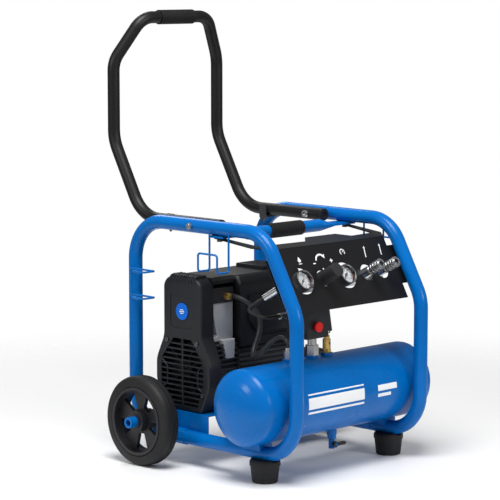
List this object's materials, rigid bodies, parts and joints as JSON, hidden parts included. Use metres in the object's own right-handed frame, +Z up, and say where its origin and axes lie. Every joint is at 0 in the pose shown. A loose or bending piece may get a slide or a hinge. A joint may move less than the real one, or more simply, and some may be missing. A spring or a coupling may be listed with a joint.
{
  "type": "portable air compressor",
  "caption": "Wheeled air compressor: bent tube cage, folding handle, receiver, control panel, covered piston pump and motor.",
  "frame": {"origin": "on the floor, at the centre of the box round the whole machine with its handle up", "axes": "+Z up, +Y to the rear (handle and wheels), +X to the right of someone facing the back of the machine from the front panel side"},
  "size_m": [0.5662, 0.5786, 0.8994],
  "materials": {
    "blue_paint": "gloss",
    "ribbed_rubber": "matte",
    "dark_steel": "satin",
    "black_plastic": "fine grain",
    "tyre_rubber": "matte",
    "black_paint": "satin",
    "nickel": "satin",
    "knurled_steel": "knurled",
    "plain_brass": "satin",
    "red_plastic": "gloss",
    "grey_plastic": "matte",
    "bare_aluminium": "cast",
    "cast_fins": "cast",
    "dial_white": "matte",
    "clear_lens": "clear",
    "needle_black": "matte",
    "badge_blue": "gloss",
    "screw_steel": "satin",
    "core_steel": "satin",
    "copper_winding": "satin",
    "pipe_black": "satin",
    "hose_rubber": "matte"
  },
  "bodies": {
    "machine": {"left_frame": "blue_paint", "right_frame": "blue_paint", "crossbar": "blue_paint", "crossbar_grip": "ribbed_rubber", "frame_bolts": "dark_steel", "axle": "blue_paint", "axle_rings": "black_plastic", "front_feet": "ribbed_rubber", "pump_platform": "blue_paint", "tank": "blue_paint", "tank_saddles": "blue_paint", "drain_valve": "nickel", "safety_valve": "plain_brass", "pipe_fittings": "nickel", "pressure_switch": "black_plastic", "switch_cover": "black_plastic", "control_panel": "black_paint", "manifold": "bare_aluminium", "regulator_body": "bare_aluminium", "gauge_cases": "nickel", "gauge_dials": "dial_white", "gauge_lenses": "clear_lens", "coupler_bodies": "nickel", "pivot_bolts": "nickel", "handle_clips": "grey_plastic", "cable_hooks": "blue_paint", "fan_cover": "black_plastic", "cover_badge": "badge_blue", "cover_screws": "screw_steel", "stator": "copper_winding", "motor_housing": "black_paint", "bearings": "screw_steel", "crankcase": "bare_aluminium", "cylinder": "cast_fins", "cylinder_head": "cast_fins", "head_plug": "plain_brass", "air_filter": "black_plastic", "motor_cover": "black_plastic", "delivery_pipe": "pipe_black", "supply_hose": "hose_rubber", "pump_mounts": "ribbed_rubber"},
    "handle": {"handle_tube": "black_paint", "handle_grip": "ribbed_rubber", "handle_caps": "black_plastic"},
    "left_wheel": {"left_rim": "black_plastic", "left_tyre": "tyre_rubber"},
    "right_wheel": {"right_rim": "black_plastic", "right_tyre": "tyre_rubber"},
    "motor_shaft": {"crankshaft": "dark_steel", "rotor": "core_steel", "fan": "black_plastic"},
    "piston_body": {"piston": "bare_aluminium"},
    "regulator_knob_body": {"regulator_knob": "grey_plastic"},
    "switch_knob_body": {"switch_knob": "red_plastic"},
    "drain_lever_body": {"drain_lever": "black_plastic"},
    "safety_cap_body": {"safety_cap": "plain_brass"},
    "left_sleeve": {"left_coupler_sleeve": "knurled_steel"},
    "right_sleeve": {"right_coupler_sleeve": "knurled_steel"},
    "tank_needle_body": {"tank_needle": "needle_black"},
    "line_needle_body": {"line_needle": "needle_black"}
  },
  "joints": [
    {"name": "handle_fold", "type": "hinge", "parent": "machine", "child": "handle", "pos_m": [0, 0.00075, 0.482], "axis": [1, 0, 0], "range_deg": [0, 177]},
    {"name": "left_wheel_spin", "type": "hinge", "parent": "machine", "child": "left_wheel", "pos_m": [-0.244, 0.08775, 0.09], "axis": [1, 0, 0], "continuous": true},
    {"name": "right_wheel_spin", "type": "hinge", "parent": "machine", "child": "right_wheel", "pos_m": [0.244, 0.08775, 0.09], "axis": [1, 0, 0], "continuous": true},
    {"name": "motor_spin", "type": "hinge", "parent": "machine", "child": "motor_shaft", "pos_m": [-0.03, 0.05075, 0.19], "axis": [1, 0, 0], "continuous": true},
    {"name": "piston_stroke", "type": "slide", "parent": "machine", "child": "piston_body", "axis": [0, 0, 1], "range_m": [-0.02, 0]},
    {"name": "regulator_turn", "type": "hinge", "parent": "machine", "child": "regulator_knob_body", "pos_m": [-0.053, -0.24221, 0.39719], "axis": [0, -0.8737, 0.4864], "range_deg": [0, 540]},
    {"name": "switch_push", "type": "slide", "parent": "machine", "child": "switch_knob_body", "axis": [0, 1, 0], "range_m": [0, 0.004]},
    {"name": "drain_turn", "type": "hinge", "parent": "machine", "child": "drain_lever_body", "pos_m": [0.02, -0.18125, 0.043], "axis": [0, 1, 0], "range_deg": [0, 90]},
    {"name": "safety_pull", "type": "slide", "parent": "machine", "child": "safety_cap_body", "axis": [0, 0, 1], "range_m": [0, 0.003], "stiffness_N_per_m": 1200, "springref_m": -0.001},
    {"name": "left_sleeve_pull", "type": "slide", "parent": "machine", "child": "left_sleeve", "axis": [0, 0.8737, -0.4864], "range_m": [0, 0.004], "stiffness_N_per_m": 900, "springref_m": -0.001},
    {"name": "right_sleeve_pull", "type": "slide", "parent": "machine", "child": "right_sleeve", "axis": [0, 0.8737, -0.4864], "range_m": [0, 0.004], "stiffness_N_per_m": 900, "springref_m": -0.001},
    {"name": "tank_needle_swing", "type": "hinge", "parent": "machine", "child": "tank_needle_body", "pos_m": [-0.11, -0.22649, 0.38844], "axis": [0, 0.8737, -0.4864], "range_deg": [0, 270], "stiffness_Nm_per_rad": 0.002},
    {"name": "line_needle_swing", "type": "hinge", "parent": "machine", "child": "line_needle_body", "pos_m": [0.012, -0.22649, 0.38844], "axis": [0, 0.8737, -0.4864], "range_deg": [0, 270], "stiffness_Nm_per_rad": 0.002}
  ]
}
